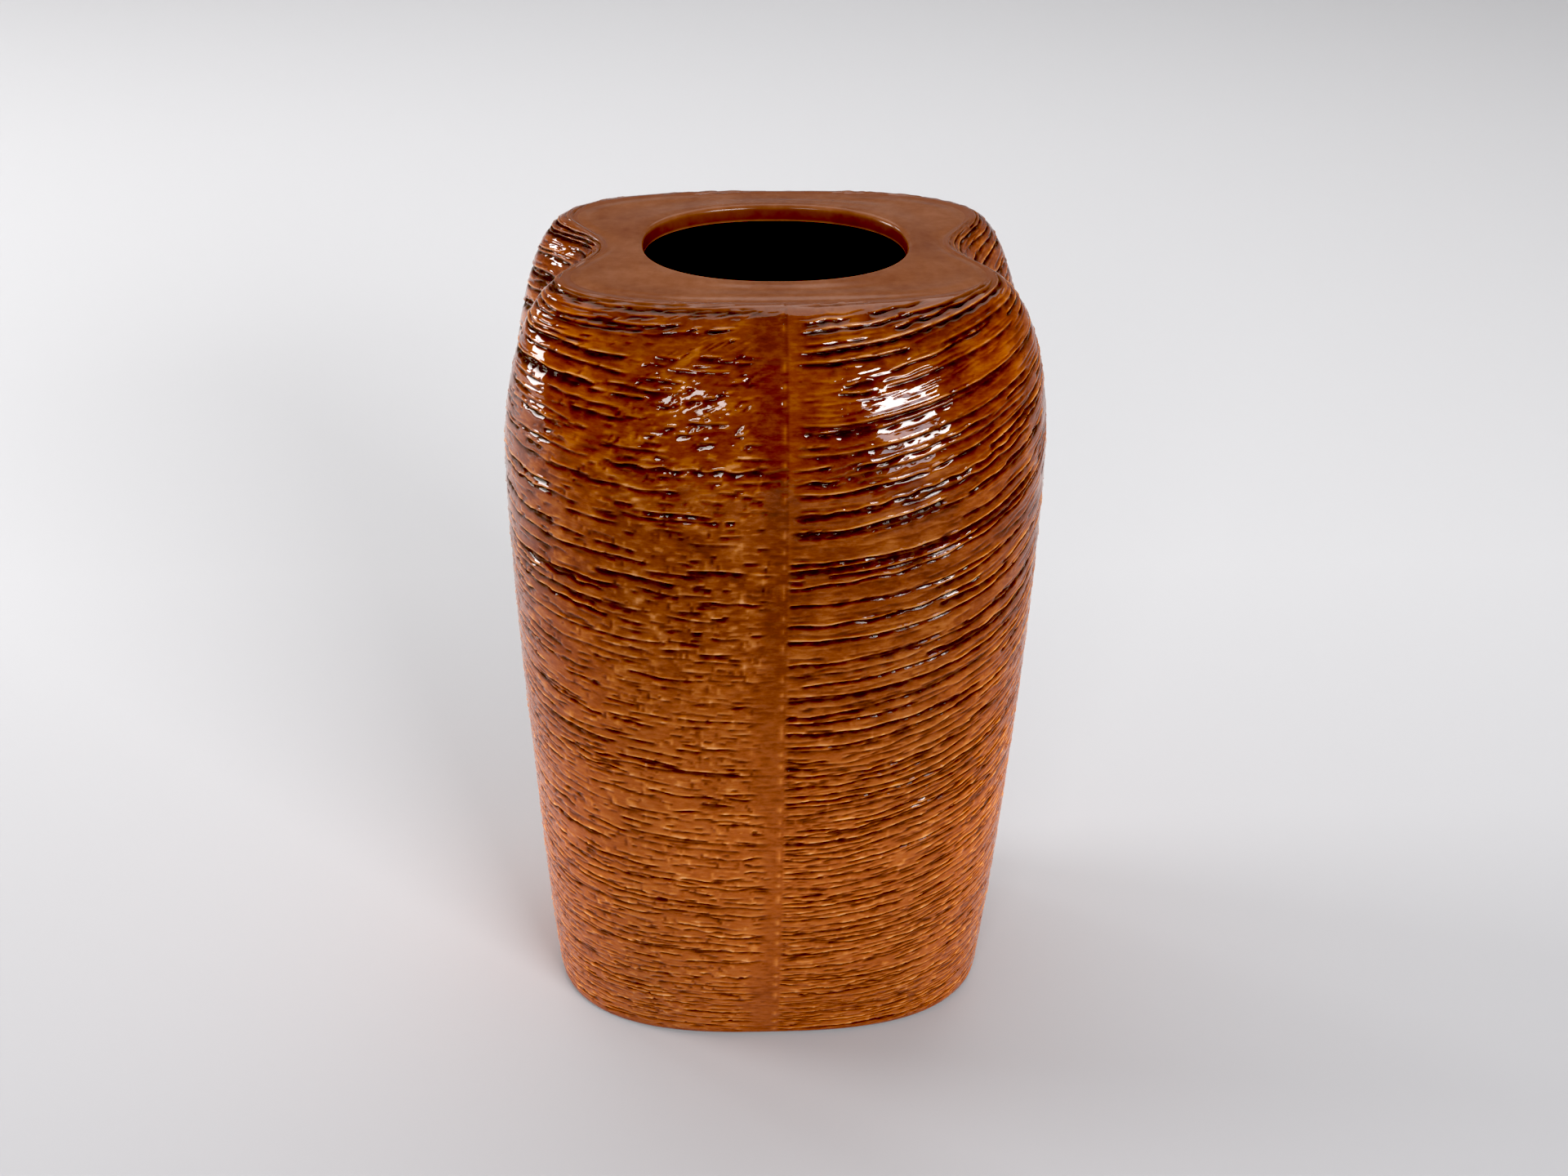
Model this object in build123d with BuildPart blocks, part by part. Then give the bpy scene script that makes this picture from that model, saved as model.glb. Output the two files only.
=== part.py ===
"""Glazed stoneware vase: two hand-pressed wall halves, a smooth top deck and a base slab.

Units are millimetres.  +Z is up, the front faces -Y, and the origin is the centre of the
base on the table.  Every horizontal section of the wall is a rounded box outline with a
notch pressed into each side near the top, so the top deck looks like a wide bow tie.
"""
from build123d import *
import math
import os

os.makedirs("parts", exist_ok=True)

# ---- overall size -----------------------------------------------------------------------
height = 300.0

belly_height = 228.0
belly_half_width = 94.5
belly_half_depth = 85.0

base_half_width = 84.5
base_half_depth = 62.0
width_taper_power = 1.64      # how late the sides start to draw in towards the base
depth_taper_power = 3.2

deck_half_width = 81.5
deck_half_depth = 51.0
width_shoulder_power = 2.6    # start of the shoulder's turn, and how round it is
width_shoulder_roundness = 2.26
depth_shoulder_power = 2.0
depth_shoulder_roundness = 1.8

outline_power = 2.74          # 2 is an ellipse, larger is boxier

notch_start_height = 220.0
notch_depth_share = 0.30      # of the half width, at the deck
notch_depth_power = 2.45      # the notch fades out down the side
notch_half_breadth = 26.0

# ---- clay thicknesses --------------------------------------------------------------------
wall = 6.5
shoulder_extra_wall = 5.0     # the wall leans in here, so its level section is wider
deck_thickness = 7.0
base_thickness = 9.0
slip_bed = 1.0                # slip that lutes the wall to the deck and to the base

# ---- vertical joints ---------------------------------------------------------------------
joint_gap = 3.0               # slip between the two wall halves
band_depth = 1.5              # the joint is smeared over as a smooth band
band_width = 12.0             # the band lies to the left of the joint, seen from outside

# ---- mouth and foot ----------------------------------------------------------------------
mouth_half_width = 45.5
mouth_half_depth = 35.5
mouth_offset_back = 1.8
mouth_edge_radius = 2.0
foot_width = 9.0
foot_recess = 1.5

# ---- sampling of the curved outline ------------------------------------------------------
points_per_side = 28
section_heights = [0, 25, 60, 100, 140, 180, 210, 232, 250, 264, 275, 284, 291, 296, 299, 300]

wall_bottom = base_thickness + slip_bed
wall_top = height - deck_thickness - slip_bed


# ---- the outline at any height -----------------------------------------------------------
def tapered(belly, base, power, z):
    """Half size below the belly: full at the belly, drawn in towards the base."""
    drop = (belly_height - z) / belly_height
    return belly - (belly - base) * drop**power


def shouldered(belly, deck, power, roundness, z):
    """Half size above the belly: a rounded shoulder that ends flat at the deck."""
    rise = (z - belly_height) / (height - belly_height)
    return deck + (belly - deck) * max(0.0, 1.0 - rise**power) ** (1.0 / roundness)


def half_width(z):
    if z <= belly_height:
        return tapered(belly_half_width, base_half_width, width_taper_power, z)
    return shouldered(
        belly_half_width, deck_half_width, width_shoulder_power, width_shoulder_roundness, z
    )


def half_depth(z):
    if z <= belly_height:
        return tapered(belly_half_depth, base_half_depth, depth_taper_power, z)
    return shouldered(
        belly_half_depth, deck_half_depth, depth_shoulder_power, depth_shoulder_roundness, z
    )


def notch_share(z):
    """How much of the half width the side notch takes away at height z."""
    rise = (z - notch_start_height) / (height - notch_start_height)
    return notch_depth_share * max(0.0, min(1.0, rise)) ** notch_depth_power


def outline_point(angle, z):
    """Point of the outer surface in the direction angle, before any inset."""
    a = half_width(z)
    b = half_depth(z)
    across = abs(math.cos(angle) / a) ** outline_power
    along = abs(math.sin(angle) / b) ** outline_power
    radius = (across + along) ** (-1.0 / outline_power)
    x = radius * math.cos(angle)
    y = radius * math.sin(angle)
    notch = notch_share(z) * math.exp(-((y / notch_half_breadth) ** 2))
    return x * (1.0 - notch), y


def inset_point(angle, z, inset):
    """The same point moved square to the outline, into the clay, by the inset."""
    step = 0.01
    x, y = outline_point(angle, z)
    x1, y1 = outline_point(angle - step, z)
    x2, y2 = outline_point(angle + step, z)
    run_x = x2 - x1
    run_y = y2 - y1
    length = math.hypot(run_x, run_y)
    return x - inset * run_y / length, y + inset * run_x / length


def side_points(z, inset):
    """Points round the right-hand side, from the front at x = 0 to the back at x = 0."""
    points = []
    for i in range(points_per_side + 1):
        angle = math.pi * (i / points_per_side - 0.5)
        x, y = inset_point(angle, z, inset)
        if i in (0, points_per_side):
            x = 0.0
        points.append((x, y))
    return points


def form(heights, inset_at):
    """Solid lofted through the outline at each height, inset by inset_at(z)."""
    with BuildPart() as body:
        for z in heights:
            right = side_points(z, inset_at(z))
            left = [(-x, y) for x, y in reversed(right)]
            with BuildSketch(Plane.XY.offset(z)):
                with BuildLine():
                    Spline(*right, tangents=[(1, 0), (-1, 0)])
                    Spline(*left, tangents=[(-1, 0), (1, 0)])
                make_face()
        loft()
    return body.part


def wall_inset(z):
    """Level thickness of the wall: it grows where the shoulder leans in."""
    rise = max(0.0, (z - belly_height) / (height - belly_height))
    return wall + shoulder_extra_wall * rise**2


outer_form = form(section_heights, lambda z: 0.0)
band_form = form(section_heights, lambda z: band_depth)
inner_form = form(section_heights, wall_inset)

slab_size = 3 * belly_half_width


def level_slice(low, high):
    """Slab of space between two heights, wider than the vase."""
    with BuildPart() as space:
        with BuildSketch(Plane.XY.offset(low)):
            Rectangle(slab_size, slab_size)
        extrude(amount=high - low)
    return space.part


def upright_slice(left, right, front, back):
    """Tall block of space between two x and two y values."""
    with BuildPart() as space:
        with BuildSketch(Plane.XY):
            with Locations(((left + right) / 2, (front + back) / 2)):
                Rectangle(right - left, back - front)
        extrude(amount=height)
    return space.part


# ---- the wall ----------------------------------------------------------------------------
whole_wall = (outer_form - inner_form) & level_slice(wall_bottom, wall_top)

# The joint runs through the wall at x = 0, and its smooth band lies to the left of it.
gap_side = joint_gap / 2
joint_gap_space = upright_slice(-gap_side, gap_side, -slab_size, 0)
band_space = upright_slice(-band_width, gap_side, -slab_size, 0) - band_form
other_half_space = upright_slice(-gap_side, slab_size, -slab_size, slab_size)

with BuildPart() as front_joint:
    add(joint_gap_space)
    add(band_space)

with BuildPart() as front_seam_slip:
    add(whole_wall)
    add(front_joint.part, mode=Mode.INTERSECT)
front_seam_slip.part.label = "front_seam_slip"
export_step(front_seam_slip.part, "parts/front_seam_slip.step")

# The left half ends half a gap short of x = 0, and the front band is let into its edge.
with BuildPart() as left_half_shell:
    add(whole_wall)
    add(other_half_space, mode=Mode.SUBTRACT)
    add(front_joint.part, mode=Mode.SUBTRACT)
left_half_shell.part.label = "left_half_shell"
export_step(left_half_shell.part, "parts/left_half_shell.step")

# From behind, the vase looks the same: the other half and its joint are half a turn round.
with BuildPart() as rear_seam_slip:
    add(front_seam_slip.part, rotation=(0, 0, 180))
rear_seam_slip.part.label = "rear_seam_slip"
export_step(rear_seam_slip.part, "parts/rear_seam_slip.step")

with BuildPart() as right_half_shell:
    add(left_half_shell.part, rotation=(0, 0, 180))
right_half_shell.part.label = "right_half_shell"
export_step(right_half_shell.part, "parts/right_half_shell.step")


# ---- slip beds ---------------------------------------------------------------------------
def slip_ring(label, low, high):
    """Thin level ring of slip, as wide as the wall that it beds."""
    space = level_slice(low, high)
    with BuildPart() as ring:
        add(outer_form)
        add(inner_form, mode=Mode.SUBTRACT)
        add(space, mode=Mode.INTERSECT)
    ring.part.label = label
    export_step(ring.part, f"parts/{label}.step")


slip_ring("deck_slip_bed", wall_top, height - deck_thickness)
slip_ring("base_slip_bed", base_thickness, wall_bottom)


# ---- the top deck ------------------------------------------------------------------------
deck_space = level_slice(height - deck_thickness, height)
with BuildPart() as top_deck:
    add(outer_form)
    add(deck_space, mode=Mode.INTERSECT)
    with BuildSketch(Plane.XY.offset(height - deck_thickness)):
        with Locations((0, mouth_offset_back)):
            Ellipse(mouth_half_width, mouth_half_depth)
    extrude(amount=deck_thickness, mode=Mode.SUBTRACT)
    fillet(top_deck.edges().filter_by(GeomType.ELLIPSE), radius=mouth_edge_radius)
top_deck.part.label = "top_deck"
export_step(top_deck.part, "parts/top_deck.step")


# ---- the base ----------------------------------------------------------------------------
base_space = level_slice(0, base_thickness)
recess = form([0.0, foot_recess], lambda z: foot_width)
with BuildPart() as base_slab:
    add(outer_form)
    add(base_space, mode=Mode.INTERSECT)
    add(recess, mode=Mode.SUBTRACT)
base_slab.part.label = "base_slab"
export_step(base_slab.part, "parts/base_slab.step")
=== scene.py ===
"""Looks of the combed, amber-glazed vase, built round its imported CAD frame.

Everything is in metres in the frame's own axes: +Z up, the front faces -Y.  The wall's outer
surface is one grid of points, displaced by comb marks; each piece takes its own share of it,
so neighbouring pieces meet exactly.
"""
import math

import bpy
import numpy as np
from mathutils import Matrix, Vector


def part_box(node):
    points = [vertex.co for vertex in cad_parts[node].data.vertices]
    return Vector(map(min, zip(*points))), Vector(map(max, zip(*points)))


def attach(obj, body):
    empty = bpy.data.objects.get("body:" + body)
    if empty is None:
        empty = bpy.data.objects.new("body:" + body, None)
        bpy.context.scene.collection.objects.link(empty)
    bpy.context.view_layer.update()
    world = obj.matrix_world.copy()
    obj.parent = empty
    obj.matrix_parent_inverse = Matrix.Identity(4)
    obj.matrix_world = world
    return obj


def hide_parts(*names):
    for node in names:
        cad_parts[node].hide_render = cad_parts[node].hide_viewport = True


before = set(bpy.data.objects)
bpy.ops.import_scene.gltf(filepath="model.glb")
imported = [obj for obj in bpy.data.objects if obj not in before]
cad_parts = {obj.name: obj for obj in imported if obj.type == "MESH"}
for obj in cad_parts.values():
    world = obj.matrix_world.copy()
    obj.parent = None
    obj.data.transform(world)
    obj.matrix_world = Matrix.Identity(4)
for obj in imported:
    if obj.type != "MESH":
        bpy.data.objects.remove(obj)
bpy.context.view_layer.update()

MM = 0.001

# ---- heights and joint edges, read from the frame ----------------------------------------
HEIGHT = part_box("top_deck")[1].z
DECK_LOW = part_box("top_deck")[0].z
WALL_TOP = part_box("left_half_shell")[1].z
WALL_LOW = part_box("left_half_shell")[0].z
BASE_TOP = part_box("base_slab")[1].z
JOINT_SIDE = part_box("front_seam_slip")[1].x
BAND_SIDE = -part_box("front_seam_slip")[0].x

# ---- the outline, as the CAD walls have it -----------------------------------------------
BELLY_Z = 228 * MM
BELLY_HALF = (94.5 * MM, 85.0 * MM)
BASE_HALF = (84.5 * MM, 62.0 * MM)
DECK_HALF = (81.5 * MM, 51.0 * MM)
TAPER_POWER = (1.64, 3.2)
SHOULDER_POWER = (2.6, 2.0)
SHOULDER_ROUNDNESS = (2.26, 1.8)
OUTLINE_POWER = 2.74
NOTCH_START = 220 * MM
NOTCH_SHARE = 0.30
NOTCH_POWER = 2.45
NOTCH_HALF_BREADTH = 26 * MM
WALL = 6.5 * MM
SHOULDER_EXTRA_WALL = 5.0 * MM
MOUTH_HALF = (45.0 * MM, 35.3 * MM)
MOUTH_BACK = 1.8 * MM
MOUTH_POWER = 2.25
MOUTH_RADIUS = 1.6 * MM
FOOT_WIDTH = 9 * MM
FOOT_RECESS = 1.5 * MM
FOOT_ROUND = 2.8 * MM
EDGE_DROP = 0.7 * MM
UNDER_EDGE = 1.2 * MM         # the bevel under the mouth


def shoulder_rise(z, start):
    """0 up to the height start, 1 at the top, straight between."""
    return np.clip((z - start) / (HEIGHT - start), 0, 1)


def half_size(z, way):
    """Half width (way 0) or half depth (way 1) of the outline at heights z."""
    drop = np.clip((BELLY_Z - z) / BELLY_Z, 0, 1)
    rise = shoulder_rise(z, BELLY_Z)
    below = BELLY_HALF[way] - (BELLY_HALF[way] - BASE_HALF[way]) * drop ** TAPER_POWER[way]
    turn = np.maximum(0, 1 - rise ** SHOULDER_POWER[way]) ** (1 / SHOULDER_ROUNDNESS[way])
    above = DECK_HALF[way] + (BELLY_HALF[way] - DECK_HALF[way]) * turn
    return np.where(z <= BELLY_Z, below, above)


def outline(angle, z):
    """x and y of the outer surface in the directions angle at heights z."""
    across = np.abs(np.cos(angle) / half_size(z, 0)) ** OUTLINE_POWER
    along = np.abs(np.sin(angle) / half_size(z, 1)) ** OUTLINE_POWER
    radius = (across + along) ** (-1 / OUTLINE_POWER)
    x = radius * np.cos(angle)
    y = radius * np.sin(angle)
    depth = NOTCH_SHARE * shoulder_rise(z, NOTCH_START) ** NOTCH_POWER
    notch = depth * np.exp(-((y / NOTCH_HALF_BREADTH) ** 2))
    return x * (1 - notch), y


# ---- smooth random fields ----------------------------------------------------------------
def smooth_noise(rng, shape, cells):
    """Random field from -1 to 1 over an array of that shape, eased between a grid of knots."""
    rows, cols = shape
    knots = rng.uniform(-1, 1, (cells[0] + 2, cells[1] + 2))
    r = np.linspace(0, cells[0], rows)
    c = np.linspace(0, cells[1], cols)
    r0 = np.minimum(r.astype(int), cells[0])
    c0 = np.minimum(c.astype(int), cells[1])
    fr = r - r0
    fc = c - c0
    fr = (fr * fr * (3 - 2 * fr))[:, None]
    fc = (fc * fc * (3 - 2 * fc))[None, :]
    low = knots[r0][:, c0] * (1 - fc) + knots[r0][:, c0 + 1] * fc
    high = knots[r0 + 1][:, c0] * (1 - fc) + knots[r0 + 1][:, c0 + 1] * fc
    return low * (1 - fr) + high * fr


def ease(value, start, end):
    """0 before start, 1 after end, smooth between."""
    t = np.clip((value - start) / (end - start), 0, 1)
    return t * t * (3 - 2 * t)


# ---- comb marks --------------------------------------------------------------------------
MAP_STEP_S = 0.4              # millimetres along the wall, from one joint round to the other
MAP_STEP_V = 0.2              # millimetres up the wall
MAP_LENGTH = 310.0
MAP_RISE = 365.0
UPPER_V = (110, 230)          # from low fine marks to high coarse ones, in millimetres up
TORN_S = (130, 215)           # from long marks to short torn ones, in millimetres round
TEARS = 2600
ROUGH_S = (205, 250)          # from smooth clay to rough, in millimetres round
LOW_V = (120, 240)            # from the low wall's clay to the high wall's, in millimetres up
GROOVE_FREE = 0.12            # no lip is raised where a groove is deeper than this
LONGEST = 130.0               # the longest mark


def draw_mark(rng, cut, burr, start_s, edge_v, length, depth, decay):
    """One comb mark: a thin raised lip, and under it a groove that shallows downwards."""
    rows, cols = cut.shape
    c0 = max(0, int(start_s / MAP_STEP_S))
    c1 = min(cols, int((start_s + length) / MAP_STEP_S))
    slope = rng.normal(0, 0.015)
    wave = rng.uniform(0.1, 0.45)
    wave_length = rng.uniform(9, 30)
    phase = rng.uniform(0, 2 * math.pi)
    beat = rng.uniform(0.5, 1.5)
    if c1 - c0 < 3:
        return
    run = np.arange(c0, c1) * MAP_STEP_S - start_s
    edge = edge_v + slope * run + wave * np.sin(2 * math.pi * run / wave_length + phase)
    taper = min(4.0, length / 3)
    ends = ease(run, 0, 0.6 * taper) * (1 - ease(run, length - taper, length))
    strength = depth * ends * (0.78 + 0.22 * np.sin(run * beat + phase))
    r0 = max(0, int((edge.min() - 5 * decay) / MAP_STEP_V))
    r1 = min(rows, int((edge.max() + 1.2) / MAP_STEP_V) + 1)
    if r1 <= r0:
        return
    below = edge[None, :] - (np.arange(r0, r1) * MAP_STEP_V)[:, None]
    groove = ease(below, -0.25, 0.3) * np.exp(-((np.maximum(below - 0.2, 0) / decay) ** 1.5))
    lip = np.exp(-(((below + 0.45) / 0.36) ** 2))
    part = cut[r0:r1, c0:c1]
    np.maximum(part, strength[None, :] * groove, out=part)
    part = burr[r0:r1, c0:c1]
    np.maximum(part, 0.5 * strength[None, :] * lip, out=part)


def draw_tear(rng, cut, burr):
    """One short upright tear across the marks, with a lip beside it."""
    s = rng.uniform(0, MAP_LENGTH - 4)
    v = rng.uniform(4, MAP_RISE - 8)
    tall = rng.uniform(0.8, 3.5)
    deep = rng.uniform(0.08, 0.3) * (0.4 + 0.6 * float(ease(s, 80, 200)))
    c0 = int(s / MAP_STEP_S)
    r0 = int(v / MAP_STEP_V)
    across = np.arange(8) * MAP_STEP_S - 1.4
    up = np.arange(int(tall / MAP_STEP_V) + 1) * MAP_STEP_V
    tear = np.exp(-((across / 0.5) ** 2))[None, :] * np.sin(math.pi * up / tall)[:, None] ** 0.5
    part = cut[r0:r0 + len(up), c0:c0 + 8]
    np.maximum(part, deep * tear[: part.shape[0]], out=part)
    part = burr[r0:r0 + len(up), c0 + 3:c0 + 11]
    np.maximum(part, 0.5 * deep * tear[: part.shape[0]], out=part)


# Combs: spacing low and high on the wall, length low and high, depth, all in millimetres.
COMBS = (
    (2.3, 4.1, 30.0, 75.0, 1.0),
    (1.5, 2.3, 10.0, 16.0, 0.62),
)


def bend_rows(relief, shift):
    """The map with each point taken from shift rows higher, so that marks don't run dead level."""
    rows, cols = relief.shape
    row_index = np.clip(np.arange(rows)[:, None] + shift, 0, rows - 1)
    low = row_index.astype(int)
    high = np.minimum(low + 1, rows - 1)
    share = row_index - low
    col_index = np.arange(cols)[None, :]
    return relief[low, col_index] * (1 - share) + relief[high, col_index] * share


def comb_map(seed):
    """Marks in millimetres of one wall half, rows going up and columns going round.

    Near the first joint the marks are long and deep.  Towards the smooth band at the far end
    they are shorter and torn, like bark.  Low on the wall they are finer and closer.
    """
    rng = np.random.default_rng(seed)
    rows = int(MAP_RISE / MAP_STEP_V)
    cols = int(MAP_LENGTH / MAP_STEP_S)
    shape = (rows, cols)
    cut = np.zeros(shape)
    burr = np.zeros(shape)
    flow = 2.0 * smooth_noise(rng, shape, (7, 4)) + 0.6 * smooth_noise(rng, shape, (20, 14))
    for pitch_low, pitch_high, length_low, length_high, deep in COMBS:
        # Each pass of the comb is a row of marks, and the rows follow each other up the wall.
        v = 0.0
        while v < MAP_RISE:
            upper = float(ease(v, *UPPER_V))
            pitch = pitch_low + (pitch_high - pitch_low) * upper
            s = -rng.uniform(0, 50)
            while s < MAP_LENGTH:
                bark = float(ease(s, *TORN_S))
                typical = length_low + (length_high - length_low) * upper * (1 - bark)
                length = min(rng.lognormal(math.log(typical * (1 - 0.5 * bark)), 0.7), LONGEST)
                depth = deep * rng.uniform(0.3, 0.8) * (1 + 0.35 * upper * (1 - bark))
                if deep < 1:
                    # The fine comb is faint where the coarse marks are long.
                    depth *= 1 - 0.6 * upper * (1 - bark)
                decay = rng.uniform(0.36, 0.62) + upper * rng.uniform(0.1, 0.2 + 0.8 * deep)
                edge_v = v + rng.normal(0, 0.3 * pitch)
                draw_mark(rng, cut, burr, s, edge_v, length, depth, decay)
                s += length + rng.exponential(4 + (6 + 14 * deep * upper) * bark)
            v += pitch * rng.uniform(0.7, 1.3)
    for _ in range(TEARS):
        draw_tear(rng, cut, burr)
    # Between the marks the clay is rough, most of all in patches towards the far end.
    spots = smooth_noise(rng, shape, (250, 110))
    patches = ease(smooth_noise(rng, shape, (22, 12)), -0.5, 0.6)
    lumps = smooth_noise(rng, shape, (70, 45))
    specks = 0.16 * ease(smooth_noise(rng, shape, (260, 170)), 0.45, 0.8)
    bark = ease(np.arange(cols) * MAP_STEP_S, *ROUGH_S)[None, :]
    low = 1 - ease(np.arange(rows) * MAP_STEP_V, *LOW_V)[:, None]
    torn = patches * (0.08 + 0.92 * bark) * (1 - 0.6 * low)
    rough = (0.008 + 0.12 * torn) * spots + (0.10 - 0.06 * low) * lumps
    rough = rough + specks * (0.05 + 0.95 * np.maximum(low, bark))
    return bend_rows(burr * (cut < GROOVE_FREE) + rough - cut, flow / MAP_STEP_V)


def look_up(relief, s, v):
    """Relief at distances s round the wall and v up it, both in millimetres."""
    rows, cols = relief.shape
    c = np.clip(s / MAP_STEP_S, 0, cols - 1.001)
    r = np.clip(v / MAP_STEP_V, 0, rows - 1.001)
    c0 = c.astype(int)
    r0 = r.astype(int)
    fc = c - c0
    fr = r - r0
    low = relief[r0, c0] * (1 - fc) + relief[r0, c0 + 1] * fc
    high = relief[r0 + 1, c0] * (1 - fc) + relief[r0 + 1, c0 + 1] * fc
    return low * (1 - fr) + high * fr


# ---- the grid of the outer surface -------------------------------------------------------
HALF_COLS = 296
BAND_COLS = 16
BASE_ROWS = 24
SLIP_ROWS = 4
WALL_ROWS = 640
FLANK_ROWS = 40
COARSE = 8                    # one inner face spans this many outer ones
LOOP_COLS = 2 * (HALF_COLS + BAND_COLS)
PROFILE_SAMPLES = 40001
OUTLINE_SAMPLES = 4001


def profile_heights():
    """Row heights, evenly spaced up the wall's front profile, and how far up it in mm each is."""
    z = HEIGHT * (1 - (1 - np.linspace(0, 1, PROFILE_SAMPLES)) ** 3)
    depth = half_size(z, 1)
    along = np.concatenate([[0], np.cumsum(np.hypot(np.diff(z), np.diff(depth)))])

    def rows(low, high, count):
        a = np.interp([low, high], z, along)
        return np.interp(np.linspace(a[0], a[1], count + 1), along, z)

    stretches = [
        rows(0, BASE_TOP, BASE_ROWS),
        rows(BASE_TOP, WALL_LOW, SLIP_ROWS)[1:],
        rows(WALL_LOW, WALL_TOP, WALL_ROWS)[1:],
        rows(WALL_TOP, DECK_LOW, SLIP_ROWS)[1:],
        rows(DECK_LOW, HEIGHT, FLANK_ROWS)[1:],
    ]
    heights = np.concatenate(stretches)
    return heights, np.interp(heights, z, along) / MM


ROW_Z, ROW_V = profile_heights()


def loop_arcs(z):
    """Points all round the outline at height z from the front, and how far round each one is."""
    angle = np.linspace(-math.pi / 2, 1.5 * math.pi, OUTLINE_SAMPLES)
    x, y = outline(angle, np.full_like(angle, z))
    arc = np.concatenate([[0], np.cumsum(np.hypot(np.diff(x), np.diff(y)))])
    return x, y, arc


def column_arcs(x, y, arc):
    """Arc positions of the grid's columns: front band, right half, rear band, left half."""
    total = arc[-1]
    quarter = len(arc) // 8
    joint = np.interp(JOINT_SIDE, x[:quarter], arc[:quarter])
    band = np.interp(BAND_SIDE, x[:quarter], arc[:quarter])
    half = total / 2
    front = np.linspace(-band, joint, BAND_COLS + 1)[:-1]
    right = np.linspace(joint, half - band, HALF_COLS + 1)[:-1]
    rear = np.linspace(half - band, half + joint, BAND_COLS + 1)[:-1]
    left = np.linspace(half + joint, total - band, HALF_COLS + 1)[:-1]
    return np.concatenate([front, right, rear, left])


def place_rows(heights):
    """x and y in metres and arc distance in mm of every point, and half of each row's length."""
    xs, ys, arcs, halves = [], [], [], []
    for z in heights:
        x, y, arc = loop_arcs(z)
        at = column_arcs(x, y, arc)
        wrapped = np.mod(at, arc[-1])
        xs.append(np.interp(wrapped, arc, x))
        ys.append(np.interp(wrapped, arc, y))
        arcs.append(at)
        halves.append(arc[-1] / 2)
    return np.array(xs), np.array(ys), np.array(arcs) / MM, np.array(halves) / MM


# How far the marks climb from the joint and fall before the next one, and over what distance
# round the wall, in millimetres.
CLIMB = 40.0
CLIMB_RUN = 115.0
FALL = 8.0
FALL_RUN = 90.0
MAP_START = 26.0              # height in the map that belongs to the wall's foot
HALF_SEEDS = (11, 23)
SWAY = 0.5                    # unevenness of the whole wall, to either side
TINY = 1e-12                  # keeps a division away from nought


def half_relief(s, to_joint, v, seed):
    """Relief in mm of one wall half, with the smooth band at its far end."""
    climb = CLIMB * (1 - np.exp(-((s / CLIMB_RUN) ** 2)))
    climb = climb + FALL * (1 - np.exp(-((to_joint / FALL_RUN) ** 2)))
    climb *= 0.5 + 0.5 * ease(v, 20, 170)
    marks = look_up(comb_map(seed), s, v + MAP_START - climb)
    # The band's left edge wanders a little.
    wander = 2.5 * np.sin(v * 0.045 + seed) + 1.5 * np.sin(v * 0.19 + seed)
    band = 1 - ease(to_joint + wander, 4, 11)
    # The marks start sharply at the joint, but fade in slowly near the top.
    start = ease(s, 0.6, 2.4 + 11 * ease(v, 215, 270))
    ticks = np.maximum(0, np.sin(v * 0.8 + 2 * np.sin(v * 0.23 + seed)))
    soft_lip = 0.22 * np.exp(-(((to_joint - 0.3) / 0.8) ** 2)) * ticks
    pooled = 0.05 + 0.05 * ease(v, 120, 220)
    return marks * start * (1 - 0.86 * band) - pooled * band + soft_lip


def hand_sway(v, top_edge):
    """Slow unevenness in mm of a hand-built wall, none at its foot, top and front joint."""
    rng = np.random.default_rng(5)
    sway = smooth_noise(rng, (len(ROW_Z), LOOP_COLS + 1), (6, 12))[:, :-1]
    from_joint = np.minimum(np.arange(LOOP_COLS), LOOP_COLS - np.arange(LOOP_COLS))
    return SWAY * sway * ease(from_joint, 0, 30)[None, :] * ease(v, 0, 30) * ease(top_edge, 5, 30)


def round_edges(points, v, top_edge):
    """Softens the deck's edge and tucks the foot's edge in."""
    points[..., 2] -= EDGE_DROP * np.exp(-((top_edge / 2.4) ** 2))
    outwards = points[..., :2] / np.linalg.norm(points[..., :2], axis=-1, keepdims=True)
    from_foot = np.clip(v * MM / FOOT_ROUND, 0, 1)
    tuck = FOOT_ROUND * (1 - np.sqrt(1 - (1 - from_foot) ** 2))
    points[..., :2] -= outwards * tuck[..., None]
    points[..., 2] = np.maximum(points[..., 2], 0.0)


def grid_normals(points):
    """Unit normals by differences round the loop and up the profile."""
    round_way = np.roll(points, -1, axis=1) - np.roll(points, 1, axis=1)
    normal = np.cross(round_way, np.gradient(points, axis=0))
    return normal / (np.linalg.norm(normal, axis=-1, keepdims=True) + TINY)


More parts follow.
